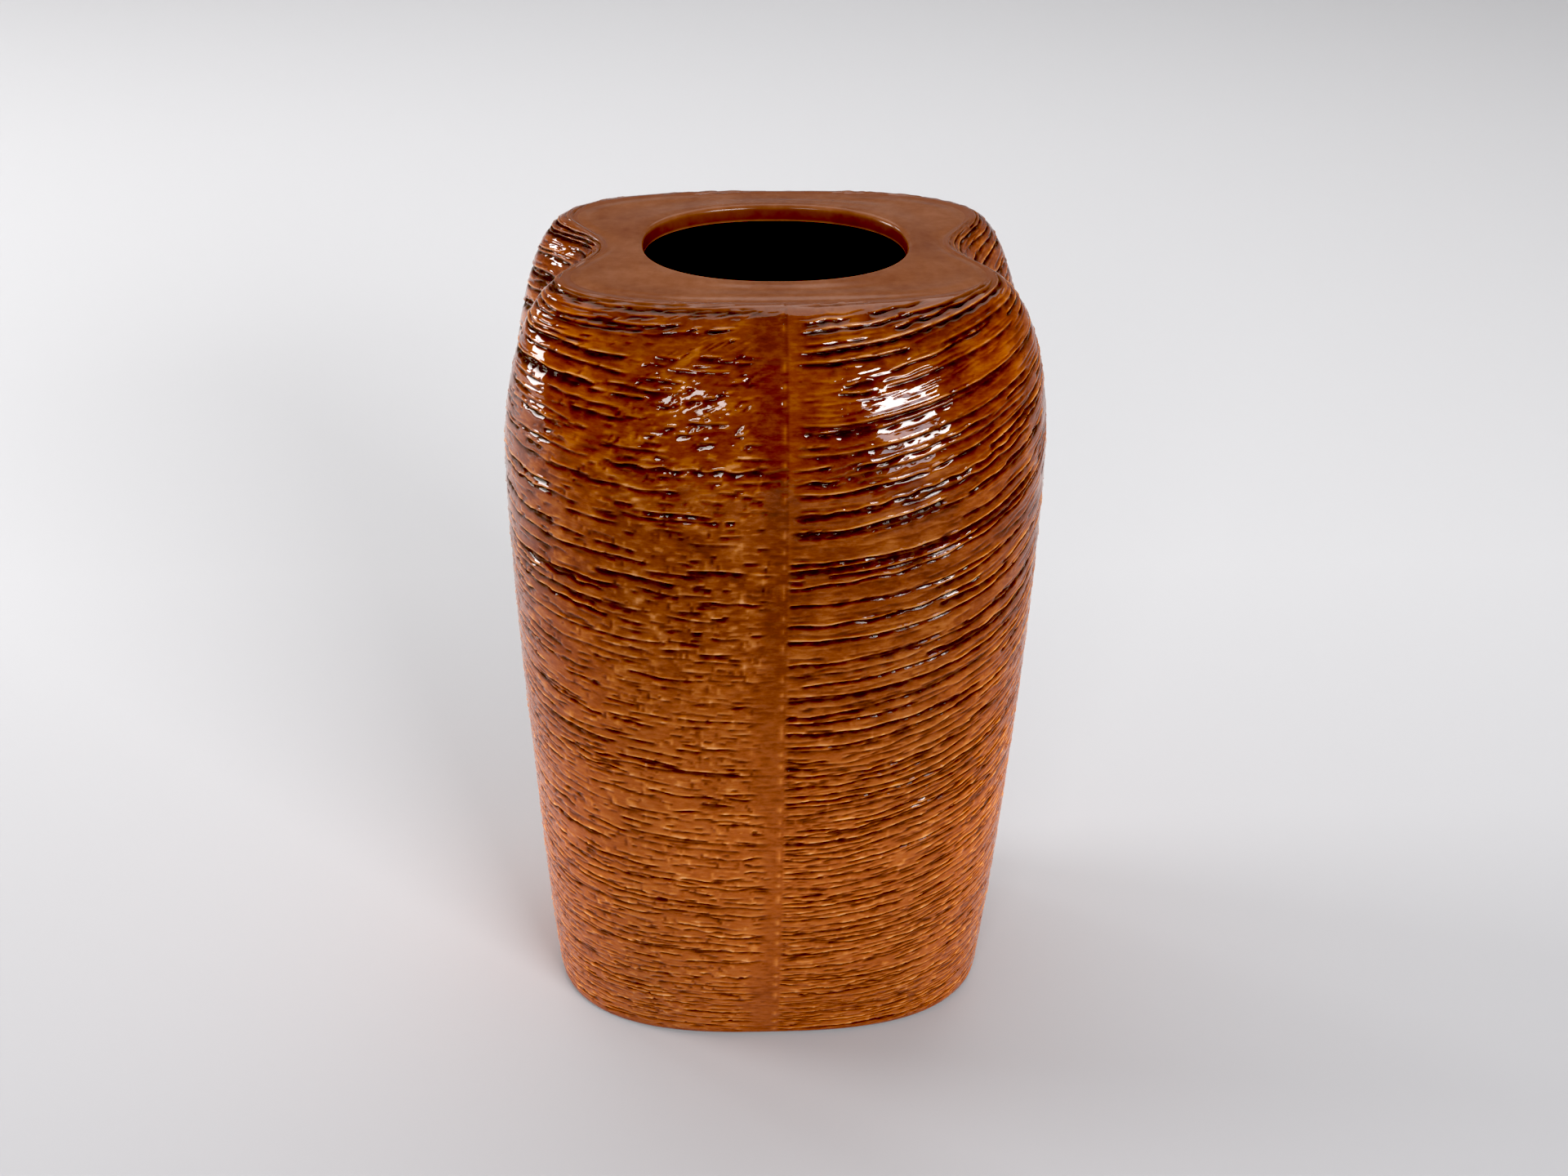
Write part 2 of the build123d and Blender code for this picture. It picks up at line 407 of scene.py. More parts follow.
def outer_surface():
    """Displaced points of the whole outer surface, their relief, the smooth points, and normals."""
    x, y, arc, half_way = place_rows(ROW_Z)
    z = np.repeat(ROW_Z[:, None], LOOP_COLS, axis=1)
    smooth = np.stack([x, y, z], axis=-1)
    v = np.repeat(ROW_V[:, None], LOOP_COLS, axis=1)
    top_edge = ROW_V[-1] - v
    span = half_way[:, None]
    relief = np.zeros_like(v)
    half_cols = LOOP_COLS // 2
    for turn, seed in enumerate(HALF_SEEDS):
        own = (BAND_COLS + turn * half_cols + np.arange(half_cols)) % LOOP_COLS
        s = np.mod(arc[:, own] - turn * span, 2 * span)
        relief[:, own] = half_relief(s, span - s, v[:, own], seed)
    # The marks end just under the deck's edge, unevenly, and just above the foot.
    uneven = 1.6 * np.sin(arc * 0.11) + 0.9 * np.sin(arc * 0.29 + 1)
    relief *= ease(top_edge + uneven, 1.4, 4.4)
    relief *= 0.12 + 0.88 * ease(v, 2.2, 5.0)
    moved = relief + hand_sway(v, top_edge)
    points = smooth + grid_normals(smooth) * (moved[..., None] * MM)
    round_edges(points, v, top_edge)
    facing = grid_normals(points)
    facing[-1] += (0.0, 0.0, 1.0)
    facing /= np.linalg.norm(facing, axis=-1, keepdims=True)
    return points, relief, smooth, facing


OUTER, RELIEF, SMOOTH, FACING = outer_surface()


# ---- meshes from grids -------------------------------------------------------------------
class Builder:
    """Collects vertices and faces of one piece.  Slot 0 is its share of the outer surface."""

    def __init__(self):
        self.points = []
        self.relief = []
        self.facing = []
        self.faces = []
        self.slots = []
        self.count = 0

    def add(self, points, relief=0.0, facing=0.0):
        """Adds an array of points and returns their indices in the same layout."""
        flat = np.asarray(points, float).reshape(-1, 3)
        self.facing.append(np.array(np.broadcast_to(facing, points.shape), float).reshape(-1, 3))
        values = np.broadcast_to(relief, points.shape[:-1]).reshape(-1)
        index = np.arange(self.count, self.count + len(flat)).reshape(points.shape[:-1])
        self.points.append(flat)
        self.relief.append(np.array(values, float))
        self.count += len(flat)
        return index

    def quads(self, grid, slot=0, flip=False):
        """Faces of a grid of indices, rows going up and columns going round to the right."""
        a = grid[:-1, :-1].ravel()
        b = grid[:-1, 1:].ravel()
        c = grid[1:, 1:].ravel()
        d = grid[1:, :-1].ravel()
        face = np.stack([a, b, c, d] if not flip else [a, d, c, b], axis=1)
        self.faces.append(face)
        self.slots.append(np.full(len(face), slot))

    def stitch(self, fine, coarse, slot=0, flip=False):
        """Triangles between a fine line of indices and a coarse one, COARSE fine steps to one."""
        out = []
        for j in range(len(coarse) - 1):
            start = j * COARSE
            middle = start + COARSE // 2
            for k in range(start, middle):
                out.append((fine[k], fine[k + 1], coarse[j]))
            out.append((fine[middle], coarse[j + 1], coarse[j]))
            for k in range(middle, start + COARSE):
                out.append((fine[k], fine[k + 1], coarse[j + 1]))
        face = np.array(out)
        if flip:
            face = face[:, ::-1]
        face = np.concatenate([face, np.full((len(face), 1), -1)], axis=1)
        self.faces.append(face)
        self.slots.append(np.full(len(face), slot))

    def make(self, name, materials, smooth_slots=0):
        """The piece's object; slots up to smooth_slots are shaded smooth."""
        mesh = bpy.data.meshes.new(name)
        points = np.concatenate(self.points)
        faces = np.concatenate(self.faces)
        slots = np.concatenate(self.slots)
        sizes = np.where(faces[:, 3] < 0, 3, 4)
        starts = np.concatenate([[0], np.cumsum(sizes)[:-1]])
        corner = faces[faces >= 0]
        mesh.vertices.add(len(points))
        mesh.vertices.foreach_set("co", points.astype(np.float32).ravel())
        mesh.loops.add(len(corner))
        mesh.loops.foreach_set("vertex_index", corner.astype(np.int32))
        mesh.polygons.add(len(faces))
        mesh.polygons.foreach_set("loop_start", starts.astype(np.int32))
        mesh.polygons.foreach_set("use_smooth", slots <= smooth_slots)
        for material in materials:
            mesh.materials.append(material)
        mesh.polygons.foreach_set("material_index", slots.astype(np.int32))
        field = mesh.attributes.new("relief", "FLOAT", "POINT")
        field.data.foreach_set("value", np.concatenate(self.relief).astype(np.float32))
        mesh.update()
        mesh.validate()
        # The outer faces share one set of normals, so no line shows where two pieces meet.
        corner_slot = np.repeat(slots, sizes)
        normals = np.concatenate(self.facing)[corner] * (corner_slot == 0)[:, None]
        mesh.normals_split_custom_set(normals)
        piece = bpy.data.objects.new(name, mesh)
        bpy.context.scene.collection.objects.link(piece)
        return piece


def inner_points(rows, cols, inset):
    """Points of the smooth outline moved into the clay by inset, square to it."""
    loop = SMOOTH[rows][:, np.arange(-1, LOOP_COLS + 1) % LOOP_COLS]
    run = loop[:, 2:, :2] - loop[:, :-2, :2]
    run /= np.linalg.norm(run, axis=-1, keepdims=True)
    moved = SMOOTH[rows].copy()
    depth = np.broadcast_to(np.asarray(inset, float), (len(rows),))[:, None]
    moved[..., 0] -= depth * run[..., 1]
    moved[..., 1] += depth * run[..., 0]
    return moved[:, cols % LOOP_COLS]


def close_loop(grid):
    """The grid of indices with its first column again at the end."""
    return np.concatenate([grid, grid[:, :1]], axis=1)


def wall_inset(z):
    """Wall thickness at height z, more where the shoulder leans in."""
    return WALL + SHOULDER_EXTRA_WALL * shoulder_rise(z, BELLY_Z) ** 2


def wall_piece(name, first_row, last_row, first_col, last_col, materials):
    """A share of the wall: displaced outside, smooth coarse inside, closed all round.

    A share that isn't the whole way round has two upright faces as well, and must be tall.
    """
    whole = last_col - first_col == LOOP_COLS
    rows = np.arange(first_row, last_row + 1)
    cols = np.arange(first_col, last_col if whole else last_col + 1)
    build = Builder()
    wrapped = cols % LOOP_COLS
    outer = build.add(OUTER[rows][:, wrapped], RELIEF[rows][:, wrapped], FACING[rows][:, wrapped])
    coarse_rows = rows[::COARSE] if len(rows) > COARSE else rows[[0, -1]]
    coarse_cols = cols[::COARSE]
    inner = build.add(inner_points(coarse_rows, coarse_cols, wall_inset(ROW_Z[coarse_rows])))
    if whole:
        outer = close_loop(outer)
        inner = close_loop(inner)
    build.quads(outer)
    build.quads(inner, slot=1, flip=True)
    build.stitch(outer[-1], inner[-1], slot=1)
    build.stitch(outer[0], inner[0], slot=1, flip=True)
    if not whole:
        build.stitch(outer[:, 0], inner[:, 0], slot=1)
        build.stitch(outer[:, -1], inner[:, -1], slot=1, flip=True)
    return build.make(name, materials)


def row_of(z):
    """The grid row nearest to height z."""
    return int(np.argmin(np.abs(ROW_Z - z)))


ROW_BASE_TOP = row_of(BASE_TOP)
ROW_WALL_LOW = row_of(WALL_LOW)
ROW_WALL_TOP = row_of(WALL_TOP)
ROW_DECK_LOW = row_of(DECK_LOW)
ROW_TOP = len(ROW_Z) - 1


# ---- deck and base, as closed rings of rows ----------------------------------------------
def mouth_ring(z, grow):
    """The mouth's outline at height z, made wider all round by grow, one point per column."""
    rim = SMOOTH[ROW_TOP]
    angle = np.unwrap(np.arctan2(rim[:, 1] / MOUTH_HALF[1], rim[:, 0] / MOUTH_HALF[0]))
    even = angle[0] + (np.arange(LOOP_COLS) / LOOP_COLS) * 2 * math.pi
    # The points lie halfway between the rim's own spacing and an even one.
    angle = 0.5 * angle + 0.5 * even
    swell = (np.abs(np.cos(angle)) ** MOUTH_POWER + np.abs(np.sin(angle)) ** MOUTH_POWER)
    swell = swell ** (-1 / MOUTH_POWER)
    x = (MOUTH_HALF[0] + grow) * swell * np.cos(angle)
    y = (MOUTH_HALF[1] + grow) * swell * np.sin(angle) + MOUTH_BACK
    return np.stack([x, y, np.full(LOOP_COLS, z)], axis=-1)


DECK_ROWS = 26
DECK_DENT = 0.3 * MM
DECK_DIP = 0.5 * MM


def deck_piece(materials):
    """Flank with comb marks, smooth hand-worked top, rounded mouth and plain underside."""
    build = Builder()
    flank = OUTER[ROW_DECK_LOW : ROW_TOP + 1]
    flank_relief = RELIEF[ROW_DECK_LOW : ROW_TOP + 1]
    rim = OUTER[ROW_TOP]
    lip_top = mouth_ring(HEIGHT, MOUTH_RADIUS)
    hand = np.random.default_rng(17)
    dents = smooth_noise(hand, (DECK_ROWS + 1, LOOP_COLS + 1), (3, 11))[:, :-1]
    face = []
    for i in range(1, DECK_ROWS + 1):
        share = i / DECK_ROWS
        ring = rim * (1 - share) + lip_top * share
        from_edge = np.linalg.norm(ring[:, :2] - rim[:, :2], axis=1) / MM
        # The top dips between its edge and the raised rim of the mouth.
        dip = math.sin(math.pi * min(1.0, share * 1.15)) if share < 0.87 else 0.0
        ring[:, 2] = HEIGHT + DECK_DENT * dents[i] * dip - DECK_DIP * dip
        ring[:, 2] -= EDGE_DROP * np.exp(-((from_edge / 3.0) ** 2))
        face.append(ring)
    turn = []
    for a in np.linspace(0, math.pi / 2, 8)[1:]:
        fall = MOUTH_RADIUS * (1 - math.cos(a))
        turn.append(mouth_ring(HEIGHT - fall, MOUTH_RADIUS * (1 - math.sin(a))))
    low_edge = DECK_LOW + UNDER_EDGE
    inside = [mouth_ring(z, 0.0) for z in np.linspace(HEIGHT - MOUTH_RADIUS, low_edge, 6)[1:]]
    under = [mouth_ring(DECK_LOW, UNDER_EDGE)]
    for share in np.linspace(0, 1, 8)[1:-1]:
        ring = under[0] * (1 - share) + OUTER[ROW_DECK_LOW] * share
        ring[:, 2] = DECK_LOW
        under.append(ring)
    rows = [*flank, *face, *turn, *inside, *under]
    relief = [*flank_relief] + [np.zeros(LOOP_COLS)] * (len(rows) - len(flank))
    facing = np.zeros((len(rows), LOOP_COLS, 3))
    facing[: len(flank)] = FACING[ROW_DECK_LOW : ROW_TOP + 1]
    grid = build.add(np.array(rows), np.array(relief), facing)
    loop = close_loop(grid)
    edge = len(flank) - 1
    lip = edge + len(face)
    end = lip + len(turn) + len(inside)
    build.quads(loop[: edge + 1], slot=0)
    build.quads(loop[edge : lip + 1], slot=1)
    build.quads(loop[lip : end + 1], slot=1)
    build.quads(loop[end:], slot=2)
    build.quads(np.concatenate([loop[-1:], loop[:1]]), slot=2)
    return build.make("top_deck_glazed", materials, smooth_slots=1)


FLOOR_INSETS = (WALL, 14 * MM, 30 * MM)
# The foot ring's section from outside in: distance in from the outline, and height.
FOOT_PROFILE = (
    (3 * MM, 0.0),
    (FOOT_WIDTH - 0.6 * MM, 0.0),
    (FOOT_WIDTH, 0.5 * MM),
    (FOOT_WIDTH + 0.5 * MM, FOOT_RECESS),
    (30 * MM, FOOT_RECESS),
)


def base_piece(materials):
    """Flank with comb marks, glazed floor inside, and a bare foot ring round a recess."""
    build = Builder()
    flank = OUTER[: ROW_BASE_TOP + 1]

    def inset_ring(row, inset, z):
        ring = inner_points(np.array([row]), np.arange(LOOP_COLS), inset)[0]
        ring[:, 2] = z
        return ring

    floor_rows = [inset_ring(ROW_BASE_TOP, inset, BASE_TOP) for inset in FLOOR_INSETS]
    foot_rows = [inset_ring(0, inset, z) for inset, z in FOOT_PROFILE]
    outer = close_loop(build.add(flank, RELIEF[: ROW_BASE_TOP + 1], FACING[: ROW_BASE_TOP + 1]))
    floor = close_loop(build.add(np.array(floor_rows)))
    foot = close_loop(build.add(np.array(foot_rows)))
    build.quads(outer, slot=0)
    build.quads(np.concatenate([outer[-1:], floor]), slot=1)
    build.quads(np.concatenate([foot[::-1], outer[:1]]), slot=2)
    middle_top = build.add(np.array([[0, 0, BASE_TOP]]))[0]
    middle_low = build.add(np.array([[0, 0, FOOT_RECESS]]))[0]
    ends = np.full(LOOP_COLS, -1)
    top = np.stack([floor[-1, :-1], floor[-1, 1:], np.full(LOOP_COLS, middle_top), ends], axis=1)
    low = np.stack([foot[-1, 1:], foot[-1, :-1], np.full(LOOP_COLS, middle_low), ends], axis=1)
    build.faces += [top, low]
    build.slots += [np.full(LOOP_COLS, 1), np.full(LOOP_COLS, 2)]
    return build.make("base_slab_glazed", materials)


# ---- materials ---------------------------------------------------------------------------
def new_material(name):
    """A node material, its tree and its shader."""
    material = bpy.data.materials.new(name)
    material.use_nodes = True
    tree = material.node_tree
    return material, tree, tree.nodes["Principled BSDF"]


def link(tree, out, into):
    """Joins one node's output to another's input."""
    tree.links.new(out, into)


def object_coords(tree, scale=(1.0, 1.0, 1.0)):
    """Object coordinates stretched by scale in x, y and z."""
    coords = tree.nodes.new("ShaderNodeTexCoord")
    mapping = tree.nodes.new("ShaderNodeMapping")
    mapping.inputs["Scale"].default_value = scale
    link(tree, coords.outputs["Object"], mapping.inputs["Vector"])
    return mapping.outputs["Vector"]


def noise(tree, vector, scale, detail=4.0):
    """Fractal noise, mostly between 0.3 and 0.7."""
    node = tree.nodes.new("ShaderNodeTexNoise")
    node.inputs["Scale"].default_value = scale
    node.inputs["Detail"].default_value = detail
    node.inputs["Roughness"].default_value = 0.6
    link(tree, vector, node.inputs["Vector"])
    return node.outputs["Fac"]


def remap(tree, value, low, high, to_low=0.0, to_high=1.0):
    """The value moved from the range low to high into to_low to to_high, and clamped."""
    node = tree.nodes.new("ShaderNodeMapRange")
    node.inputs["From Min"].default_value = low
    node.inputs["From Max"].default_value = high
    node.inputs["To Min"].default_value = to_low
    node.inputs["To Max"].default_value = to_high
    link(tree, value, node.inputs["Value"])
    return node.outputs["Result"]


NOISE_LOW = 0.3
NOISE_HIGH = 0.7


def spread(tree, field, low, high):
    """A noise field's usual values moved into the range low to high."""
    return remap(tree, field, NOISE_LOW, NOISE_HIGH, low, high)


def maths(tree, operation, a, b=0.0):
    """A maths node on sockets or plain numbers."""
    node = tree.nodes.new("ShaderNodeMath")
    node.operation = operation
    for socket, value in zip(node.inputs, (a, b)):
        if isinstance(value, (int, float)):
            socket.default_value = value
        else:
            link(tree, value, socket)
    return node.outputs["Value"]


def vary(tree, value, field, amount):
    """The value plus or minus up to amount, as the noise field has it."""
    return maths(tree, "ADD", value, spread(tree, field, -amount, amount))


def ramp(tree, value, stops):
    """A colour ramp with stops of position and colour."""
    node = tree.nodes.new("ShaderNodeValToRGB")
    elements = node.color_ramp.elements
    while len(elements) < len(stops):
        elements.new(0.5)
    for element, (position, colour) in zip(elements, stops):
        element.position = position
        element.color = (*colour, 1.0)
    link(tree, value, node.inputs["Fac"])
    return node.outputs["Color"]


def clamped(tree, value):
    """The value kept between 0 and 1."""
    node = tree.nodes.new("ShaderNodeClamp")
    link(tree, value, node.inputs["Value"])
    return node.outputs["Result"]


def mix(tree, share, a, b, blend="MIX"):
    """Two colours mixed by share; each may be a socket or a plain value."""
    node = tree.nodes.new("ShaderNodeMix")
    node.data_type = "RGBA"
    node.blend_type = blend
    share_socket, a_socket, b_socket = node.inputs[0], node.inputs[6], node.inputs[7]
    for socket, value in ((share_socket, share), (a_socket, a), (b_socket, b)):
        if isinstance(value, (int, float)):
            socket.default_value = value
        elif isinstance(value, tuple):
            socket.default_value = (*value, 1.0)
        else:
            link(tree, value, socket)
    return node.outputs[2]


def bump(tree, shader, height, strength, distance):
    """Fine unevenness of both the body and its glossy coat."""
    node = tree.nodes.new("ShaderNodeBump")
    node.inputs["Strength"].default_value = strength
    node.inputs["Distance"].default_value = distance
    link(tree, height, node.inputs["Height"])
    link(tree, node.outputs["Normal"], shader.inputs["Normal"])
    link(tree, node.outputs["Normal"], shader.inputs["Coat Normal"])


def glaze_coat(shader, roughness, coat=1.0):
    """Clear glossy glass over the coloured body."""
    shader.inputs["Specular IOR Level"].default_value = 0.0
    shader.inputs["Roughness"].default_value = 0.6
    shader.inputs["Coat Weight"].default_value = coat
    shader.inputs["Coat Roughness"].default_value = roughness
    shader.inputs["Coat IOR"].default_value = 1.45


def coordinate(tree, axis):
    """One object coordinate in metres."""
    coords = tree.nodes.new("ShaderNodeTexCoord")
    split = tree.nodes.new("ShaderNodeSeparateXYZ")
    link(tree, coords.outputs["Object"], split.inputs["Vector"])
    return split.outputs[axis]


def height_share(tree, low, high):
    """0 at height low, 1 at height high, straight between."""
    return remap(tree, coordinate(tree, "Z"), low, high)


# Heights and widths in metres between which the colour changes: the glaze's zones, painted light
# round the sides, and a painted contact shadow with darker glaze at the foot.
UPPER_GLAZE = (0.095, 0.205)
PAINTED_SIDE_LIGHT_SPAN = (0.052, 0.092)
DECK_EDGE = (0.2976, 0.2996)
FOOT_SHADOW_AND_GLAZE = (0.0, 0.006)
# The next tint multiplies the colour for the painted light round the sides.
PAINTED_SIDE_LIGHT_TINT = (1.50, 1.30, 0.80)
DECK_BROWN = (0.215, 0.066, 0.024)


def combed_glaze(name):
    """Amber glaze: almost black where it pools in the marks, thin and tan on the ridges."""
    material, tree, shader = new_material(name)
    attribute = tree.nodes.new("ShaderNodeAttribute")
    attribute.attribute_name = "relief"
    relief = attribute.outputs["Fac"]
    streak = noise(tree, object_coords(tree, (0.16, 0.16, 1.0)), 1500.0, 3.0)
    grain = noise(tree, object_coords(tree, (0.45, 0.45, 1.0)), 560.0, 4.0)
    patch = noise(tree, object_coords(tree, (0.7, 0.7, 1.0)), 26.0, 3.0)
    wash = noise(tree, object_coords(tree, (0.6, 0.6, 1.0)), 110.0, 4.0)
    # The relief in millimetres picks the colour, and fine noise breaks it up.
    level = vary(tree, relief, streak, 0.035)
    level = vary(tree, level, grain, 0.06)
    level = vary(tree, level, wash, 0.03)
    level = remap(tree, level, -0.47, 0.33)
    lower = ramp(tree, level, [
        (0.00, (0.042, 0.017, 0.010)),
        (0.25, (0.092, 0.025, 0.010)),
        (0.45, (0.230, 0.051, 0.011)),
        (0.60, (0.370, 0.093, 0.020)),
        (0.78, (0.535, 0.172, 0.036)),
        (1.00, (0.790, 0.370, 0.140))])
    upper = ramp(tree, level, [
        (0.00, (0.033, 0.016, 0.010)),
        (0.25, (0.055, 0.017, 0.008)),
        (0.45, (0.122, 0.025, 0.006)),
        (0.60, (0.198, 0.045, 0.009)),
        (0.78, (0.345, 0.110, 0.022)),
        (1.00, (0.560, 0.260, 0.100))])
    rise = vary(tree, height_share(tree, *UPPER_GLAZE), patch, 0.14)
    colour = mix(tree, clamped(tree, rise), lower, upper)
    # Round the sides painted light makes the colour brighter and more orange.
    side_light_share = remap(tree, maths(tree, "ABSOLUTE", coordinate(tree, "X")), *PAINTED_SIDE_LIGHT_SPAN)
    painted_side_light = mix(tree, 1.0, colour, PAINTED_SIDE_LIGHT_TINT, "MULTIPLY")
    colour = mix(tree, side_light_share, colour, painted_side_light)
    # Towards the deck's edge the glaze turns to the deck's brown.
    edge = vary(tree, height_share(tree, *DECK_EDGE), grain, 0.3)
    colour = mix(tree, clamped(tree, edge), colour, DECK_BROWN)
    # In the last few millimetres above the floor it darkens: a painted contact shadow, and the
    # glaze darker at its edge.
    foot = ramp(tree, height_share(tree, *FOOT_SHADOW_AND_GLAZE), [
        (0.10, (0.20, 0.14, 0.10)),
        (0.32, (0.75, 0.62, 0.55)),
        (0.90, (1.00, 1.00, 1.00))])
    colour = mix(tree, 1.0, colour, foot, "MULTIPLY")
    link(tree, colour, shader.inputs["Base Color"])
    glaze_coat(shader, 0.022)
    # Deep in the grooves nothing shines.
    link(tree, remap(tree, relief, -0.45, -0.12, 0.15, 1.0), shader.inputs["Coat Weight"])
    bump(tree, shader, grain, 0.06, 0.0003)
    return material


def deck_glaze(name):
    """Brown glaze on smooth clay, mottled, darker where it ran thick, with painted shade and a
    painted highlight inside the mouth.
    """
    material, tree, shader = new_material(name)
    coords = object_coords(tree)
    mottle = noise(tree, coords, 45.0, 5.0)
    fleck = noise(tree, coords, 260.0, 4.0)
    level = vary(tree, spread(tree, mottle, 0.15, 0.75), fleck, 0.15)
    colour = ramp(tree, level, [
        (0.00, (0.170, 0.050, 0.020)),
        (0.50, (0.240, 0.084, 0.036)),
        (1.00, (0.310, 0.125, 0.062))])
    # Inside the mouth painted shade darkens the glaze, and a pale line along the lower edge is a
    # painted highlight.
    depth = ramp(tree, height_share(tree, DECK_LOW, HEIGHT), [
        (0.16, (1.30, 1.50, 1.90)),
        (0.30, (0.58, 0.48, 0.36)),
        (0.72, (0.72, 0.64, 0.52)),
        (0.88, (1.00, 1.00, 1.00))])
    colour = mix(tree, 1.0, colour, depth, "MULTIPLY")
    link(tree, colour, shader.inputs["Base Color"])
    glaze_coat(shader, 0.16, 0.65)
    bump(tree, shader, mottle, 0.2, 0.0006)
    return material


def near_black_inner(name):
    """Near-black colour inside the vase."""
    material, tree, shader = new_material(name)
    shade = noise(tree, object_coords(tree), 60.0, 3.0)
    colour = ramp(tree, shade, [(0.3, (0.003, 0.002, 0.0015)), (0.7, (0.008, 0.004, 0.002))])
    link(tree, colour, shader.inputs["Base Color"])
    glaze_coat(shader, 0.35, 0.3)
    return material


def bare_clay(name):
    """Unglazed buff foot."""
    material, tree, shader = new_material(name)
    shade = noise(tree, object_coords(tree), 500.0, 6.0)
    colour = ramp(tree, shade, [(0.3, (0.30, 0.17, 0.09)), (0.7, (0.46, 0.29, 0.17))])
    link(tree, colour, shader.inputs["Base Color"])
    shader.inputs["Roughness"].default_value = 0.9
    bump(tree, shader, shade, 0.4, 0.0003)
    return material


COMBED = combed_glaze("combed_amber_glaze")
DECK = deck_glaze("deck_brown_glaze")
NEAR_BLACK_INNER = near_black_inner("near_black_inner_surface")
CLAY = bare_clay("bare_foot_clay")


# ---- pieces ------------------------------------------------------------------------------
def settle(piece, node):
    """Fixes a piece to the body and lets it stand for its CAD node."""
    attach(piece, "root")
    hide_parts(node)


RIGHT_START = BAND_COLS
RIGHT_END = BAND_COLS + HALF_COLS
LEFT_START = RIGHT_END + BAND_COLS
WALL_SHARES = (
    ("front_seam", "front_seam_slip", 0, RIGHT_START, "seam_glaze"),
    ("right_wall", "right_half_shell", RIGHT_START, RIGHT_END, "combed_glaze"),
    ("rear_seam", "rear_seam_slip", RIGHT_END, LEFT_START, "seam_glaze"),
    ("left_wall", "left_half_shell", LEFT_START, LOOP_COLS, "combed_glaze"),
)
SLIP_BEDS = (
    ("deck_slip", "deck_slip_bed", ROW_WALL_TOP, ROW_DECK_LOW),
    ("base_slip", "base_slip_bed", ROW_BASE_TOP, ROW_WALL_LOW),
)
for label, node, first, last, slot in WALL_SHARES:
    share = wall_piece(label, ROW_WALL_LOW, ROW_WALL_TOP, first, last, (COMBED, NEAR_BLACK_INNER))
    settle(share, node)
for label, node, low, high in SLIP_BEDS:
    ring = wall_piece(label, low, high, 0, LOOP_COLS, (COMBED, NEAR_BLACK_INNER))
    settle(ring, node)

settle(deck_piece((COMBED, DECK, NEAR_BLACK_INNER)), "top_deck")
settle(base_piece((COMBED, NEAR_BLACK_INNER, CLAY)), "base_slab")


# ---- floor and backdrop ------------------------------------------------------------------
FLOOR_RADIUS = 3.2
BEND = 1.2
SWEEP_TOP = 4.5
SWEEP_STEPS = 96
# The paper's colour holds painted shade along Y.
PAPER_PAINTED_SHADE = (-0.45, 1.05)    # from the darker front to the paler back, in metres along Y


def paper_with_painted_shade(name):
    """Matt paper, with painted shade that makes it a little darker towards the front."""
    material, tree, shader = new_material(name)
    shade = ramp(tree, remap(tree, coordinate(tree, "Y"), *PAPER_PAINTED_SHADE), [
        (0.00, (0.460, 0.455, 0.470)),
        (0.50, (0.735, 0.730, 0.740)),
        (1.00, (0.760, 0.755, 0.765))])
    link(tree, shade, shader.inputs["Base Color"])
    shader.inputs["Roughness"].default_value = 0.9
    shader.inputs["Specular IOR Level"].default_value = 0.1
    return material


def sweep():
    """Round pale floor that curves up into a wall all round."""
    line = [(FLOOR_RADIUS, 0.0)]
    for a in np.linspace(0, math.pi / 2, 16)[1:]:
        line.append((FLOOR_RADIUS + BEND * math.sin(a), BEND * (1 - math.cos(a))))
    line.append((FLOOR_RADIUS + BEND, SWEEP_TOP))
    points = [(0.0, 0.0, 0.0)]
    for radius, z in line:
        for k in range(SWEEP_STEPS):
            turn = 2 * math.pi * k / SWEEP_STEPS
            points.append((radius * math.cos(turn), radius * math.sin(turn), z))
    faces = [(0, 1 + k, 1 + (k + 1) % SWEEP_STEPS) for k in range(SWEEP_STEPS)]
    for i in range(len(line) - 1):
        low = 1 + i * SWEEP_STEPS
        high = low + SWEEP_STEPS
        for k in range(SWEEP_STEPS):
            after = (k + 1) % SWEEP_STEPS
            faces.append((low + k, high + k, high + after, low + after))
    mesh = bpy.data.meshes.new("sweep")
    mesh.from_pydata(points, [], faces)
    mesh.polygons.foreach_set("use_smooth", [True] * len(faces))
    mesh.materials.append(paper_with_painted_shade("paper_with_painted_shade"))
    floor = bpy.data.objects.new("sweep", mesh)
    bpy.context.scene.collection.objects.link(floor)


sweep()


# ---- light -------------------------------------------------------------------------------
WHITE = (1.0, 1.0, 1.0)
DAYLIGHT = (0.8, 0.88, 1.0)
ROOM_LIGHT = 0.35


def softbox(name, place, aim, size, power, colour=WHITE):
    """A rectangular lamp at place that looks at aim; size in metres, power in watts."""
    data = bpy.data.lights.new(name, "AREA")
    data.shape = "RECTANGLE"
    data.size, data.size_y = size
    data.energy = power
    data.color = colour
    lamp = bpy.data.objects.new(name, data)
    lamp.location = place
    lamp.rotation_mode = "QUATERNION"
    lamp.rotation_quaternion = (Vector(aim) - Vector(place)).to_track_quat("-Z", "Y")
    bpy.context.scene.collection.objects.link(lamp)


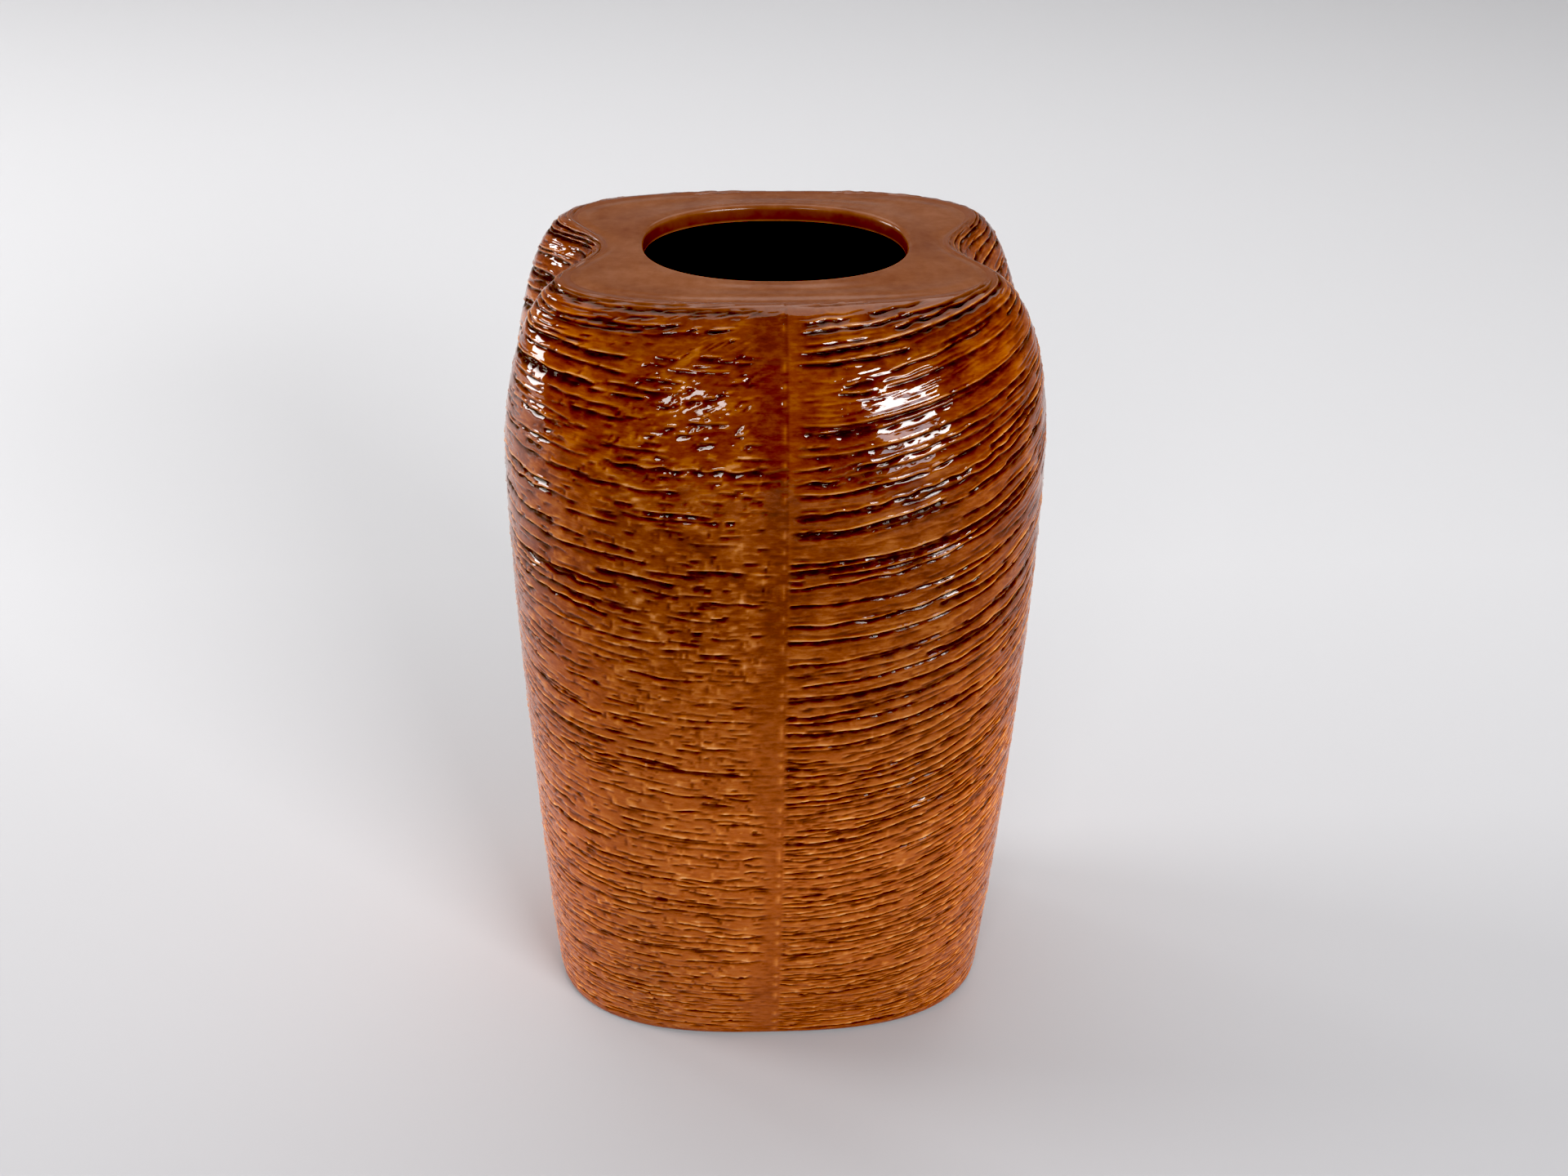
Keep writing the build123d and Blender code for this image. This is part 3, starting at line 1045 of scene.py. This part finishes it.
BODY = (0.0, 0.0, 0.2)
FLOOR_BEHIND = (0.0, 0.3, 0.0)
softbox("overhead", (0.0, 0.85, 1.65), FLOOR_BEHIND, (2.0, 1.4), 14.0)
softbox("left_window", (-2.25, 0.5, 0.68), BODY, (0.8, 0.85), 37.0)
softbox("left_back_window", (-2.4, 1.9, 1.1), BODY, (0.42, 0.42), 9.0)
softbox("right_front_window", (0.95, -1.78, 1.1), BODY, (0.95, 0.4), 35.0)
softbox("right_low_window", (0.95, -1.9, 0.62), BODY, (0.8, 0.3), 6.0, DAYLIGHT)
softbox("front_panel", (-0.42, -1.6, 0.98), BODY, (0.34, 0.28), 4.6)

world = bpy.data.worlds.new("soft_room")
world.use_nodes = True
background = world.node_tree.nodes["Background"]
background.inputs["Color"].default_value = (*WHITE, 1.0)
background.inputs["Strength"].default_value = ROOM_LIGHT
bpy.context.scene.world = world


# ---- camera ------------------------------------------------------------------------------
CAMERA_ELEVATION = math.radians(30.29)
CAMERA_AZIMUTH = math.radians(3.24)
CAMERA_ROLL = math.radians(0.87)
CAMERA_DISTANCE = 0.75746
CAMERA_AIM = Vector((0.0046, -0.0003, 0.1643))
CAMERA_LENS = 46.58
SENSOR_WIDTH = 36.0


BLACK_LEVEL = (0.034, 0.033, 0.034)


def add_camera():
    """The camera as it was recovered from the vase's outline."""
    sin_a, cos_a = math.sin(CAMERA_AZIMUTH), math.cos(CAMERA_AZIMUTH)
    sin_e, cos_e = math.sin(CAMERA_ELEVATION), math.cos(CAMERA_ELEVATION)
    ahead = Vector((sin_a * cos_e, cos_a * cos_e, -sin_e))
    level_right = Vector((cos_a, -sin_a, 0.0))
    level_up = Vector((sin_a * sin_e, cos_a * sin_e, cos_e))
    right = level_right * math.cos(CAMERA_ROLL) + level_up * math.sin(CAMERA_ROLL)
    up = level_up * math.cos(CAMERA_ROLL) - level_right * math.sin(CAMERA_ROLL)
    data = bpy.data.cameras.new("camera")
    data.lens = CAMERA_LENS
    data.sensor_width = SENSOR_WIDTH
    camera = bpy.data.objects.new("camera", data)
    turn = Matrix((right, up, -ahead)).transposed().to_4x4()
    camera.matrix_world = Matrix.Translation(CAMERA_AIM - ahead * CAMERA_DISTANCE) @ turn
    bpy.context.scene.collection.objects.link(camera)
    bpy.context.scene.camera = camera


add_camera()

# The photo's darkest parts are nearly black, so the picture's black point is raised.
view_settings = bpy.context.scene.view_settings
view_settings.view_transform = "Standard"
view_settings.use_curve_mapping = True
view_settings.curve_mapping.black_level = BLACK_LEVEL
view_settings.curve_mapping.update()
